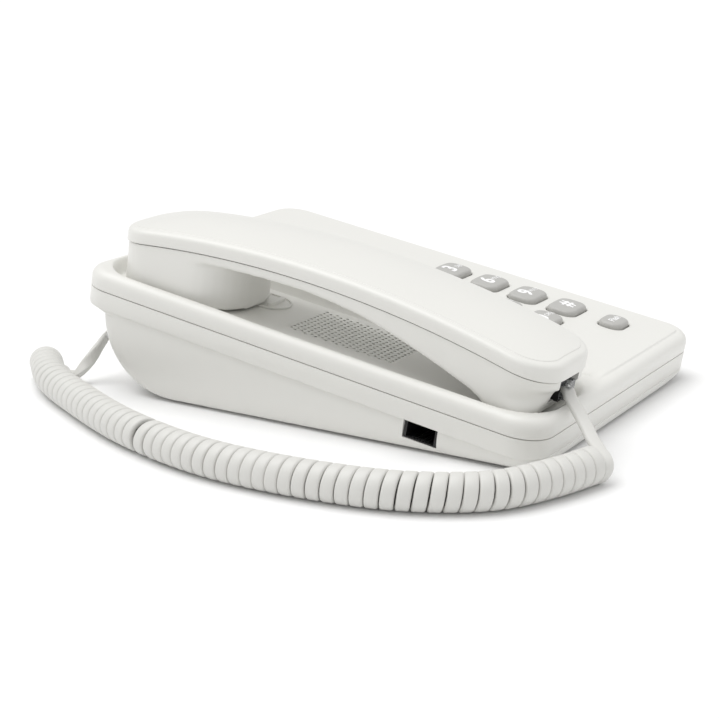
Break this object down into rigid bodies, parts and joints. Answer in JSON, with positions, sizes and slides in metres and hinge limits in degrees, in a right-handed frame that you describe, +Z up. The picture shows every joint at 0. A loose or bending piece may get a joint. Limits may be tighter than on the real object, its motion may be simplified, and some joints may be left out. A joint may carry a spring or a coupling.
{
  "type": "corded telephone",
  "caption": "Slim corded phone for desk or wall: sloping base with keypad and speaker grille, arched handset in a side trough, coiled handset cord.",
  "frame": {"origin": "on the table, under the middle of the phone's outline without its cord", "axes": "+X towards the keypad side, +Y towards the high rear end, +Z up"},
  "size_m": [0.2126, 0.2518, 0.0692],
  "materials": {
    "case_plastic": "satin white ABS with soft gloss",
    "key_plastic": "light grey with printed white legends",
    "silicone": "pale grey silicone",
    "rubber": "dark grey rubber",
    "circuit_board": "green solder mask",
    "steel": "zinc-plated steel",
    "dark_plastic": "black moulded plastic",
    "clear_plastic": "clear moulded plastic",
    "cord_jacket": "white flexible PVC, satin"
  },
  "bodies": {
    "base": {"top_shell": "case_plastic", "bottom_shell": "case_plastic", "speaker_grille": "case_plastic", "hook_switch": "dark_plastic", "key_mat": "silicone", "key_board": "circuit_board", "board_screws": "steel", "ringer_speaker": "dark_plastic", "speaker_clamp": "case_plastic", "ballast_plate": "steel", "line_jack": "dark_plastic", "rear_jack": "dark_plastic", "ringer_switch": "dark_plastic", "case_screws": "steel", "rubber_feet": "rubber", "plug_base": "clear_plastic", "cord_lead": "cord_jacket", "cord_coil": "cord_jacket", "cord_tail": "cord_jacket"},
    "handset": {"handset_upper_shell": "case_plastic", "handset_lower_shell": "case_plastic", "receiver_capsule": "dark_plastic", "receiver_gasket": "rubber", "microphone_capsule": "steel", "microphone_boot": "rubber", "handset_weight": "steel", "handset_jack": "dark_plastic", "handset_screws": "steel", "plug_handset": "clear_plastic"},
    "hook_plunger": {"hook_plunger": "case_plastic"},
    "hanger_tab": {"hanger_tab": "case_plastic"},
    "ringer_slider": {"ringer_slider": "case_plastic"},
    "key_star": {"key_star": "key_plastic"},
    "key_0": {"key_0": "key_plastic"},
    "key_hash": {"key_hash": "key_plastic"},
    "key_7": {"key_7": "key_plastic"},
    "key_8": {"key_8": "key_plastic"},
    "key_9": {"key_9": "key_plastic"},
    "key_4": {"key_4": "key_plastic"},
    "key_5": {"key_5": "key_plastic"},
    "key_6": {"key_6": "key_plastic"},
    "key_1": {"key_1": "key_plastic"},
    "key_2": {"key_2": "key_plastic"},
    "key_3": {"key_3": "key_plastic"},
    "key_redial": {"key_redial": "key_plastic"},
    "key_flash": {"key_flash": "key_plastic"}
  },
  "joints": [
    {"name": "handset_lift", "type": "slide", "parent": "base", "child": "handset", "axis": [0, -0.1582, 0.9874], "range_m": [0, 0.08]},
    {"name": "hook_rise", "type": "slide", "parent": "base", "child": "hook_plunger", "axis": [0, -0.1582, 0.9874], "range_m": [0, 0.004]},
    {"name": "hanger_slide", "type": "slide", "parent": "base", "child": "hanger_tab", "axis": [0, -0.9874, -0.1582], "range_m": [0, 0.005]},
    {"name": "ringer_slide", "type": "slide", "parent": "base", "child": "ringer_slider", "axis": [0, 0.9874, 0.1582], "range_m": [0, 0.003]},
    {"name": "press_star", "type": "slide", "parent": "base", "child": "key_star", "axis": [0, 0.1582, -0.9874], "range_m": [0, 0.0015], "stiffness_N_per_m": 400, "springref_m": -0.0005},
    {"name": "press_0", "type": "slide", "parent": "base", "child": "key_0", "axis": [0, 0.1582, -0.9874], "range_m": [0, 0.0015], "stiffness_N_per_m": 400, "springref_m": -0.0005},
    {"name": "press_hash", "type": "slide", "parent": "base", "child": "key_hash", "axis": [0, 0.1582, -0.9874], "range_m": [0, 0.0015], "stiffness_N_per_m": 400, "springref_m": -0.0005},
    {"name": "press_7", "type": "slide", "parent": "base", "child": "key_7", "axis": [0, 0.1582, -0.9874], "range_m": [0, 0.0015], "stiffness_N_per_m": 400, "springref_m": -0.0005},
    {"name": "press_8", "type": "slide", "parent": "base", "child": "key_8", "axis": [0, 0.1582, -0.9874], "range_m": [0, 0.0015], "stiffness_N_per_m": 400, "springref_m": -0.0005},
    {"name": "press_9", "type": "slide", "parent": "base", "child": "key_9", "axis": [0, 0.1582, -0.9874], "range_m": [0, 0.0015], "stiffness_N_per_m": 400, "springref_m": -0.0005},
    {"name": "press_4", "type": "slide", "parent": "base", "child": "key_4", "axis": [0, 0.1582, -0.9874], "range_m": [0, 0.0015], "stiffness_N_per_m": 400, "springref_m": -0.0005},
    {"name": "press_5", "type": "slide", "parent": "base", "child": "key_5", "axis": [0, 0.1582, -0.9874], "range_m": [0, 0.0015], "stiffness_N_per_m": 400, "springref_m": -0.0005},
    {"name": "press_6", "type": "slide", "parent": "base", "child": "key_6", "axis": [0, 0.1582, -0.9874], "range_m": [0, 0.0015], "stiffness_N_per_m": 400, "springref_m": -0.0005},
    {"name": "press_1", "type": "slide", "parent": "base", "child": "key_1", "axis": [0, 0.1582, -0.9874], "range_m": [0, 0.0015], "stiffness_N_per_m": 400, "springref_m": -0.0005},
    {"name": "press_2", "type": "slide", "parent": "base", "child": "key_2", "axis": [0, 0.1582, -0.9874], "range_m": [0, 0.0015], "stiffness_N_per_m": 400, "springref_m": -0.0005},
    {"name": "press_3", "type": "slide", "parent": "base", "child": "key_3", "axis": [0, 0.1582, -0.9874], "range_m": [0, 0.0015], "stiffness_N_per_m": 400, "springref_m": -0.0005},
    {"name": "press_redial", "type": "slide", "parent": "base", "child": "key_redial", "axis": [0, 0.1582, -0.9874], "range_m": [0, 0.0015], "stiffness_N_per_m": 400, "springref_m": -0.0005},
    {"name": "press_flash", "type": "slide", "parent": "base", "child": "key_flash", "axis": [0, 0.1582, -0.9874], "range_m": [0, 0.0015], "stiffness_N_per_m": 400, "springref_m": -0.0005}
  ],
  "couplings": [
    {"joint": "hook_rise", "follows": "handset_lift", "ratio": 0.05}
  ]
}
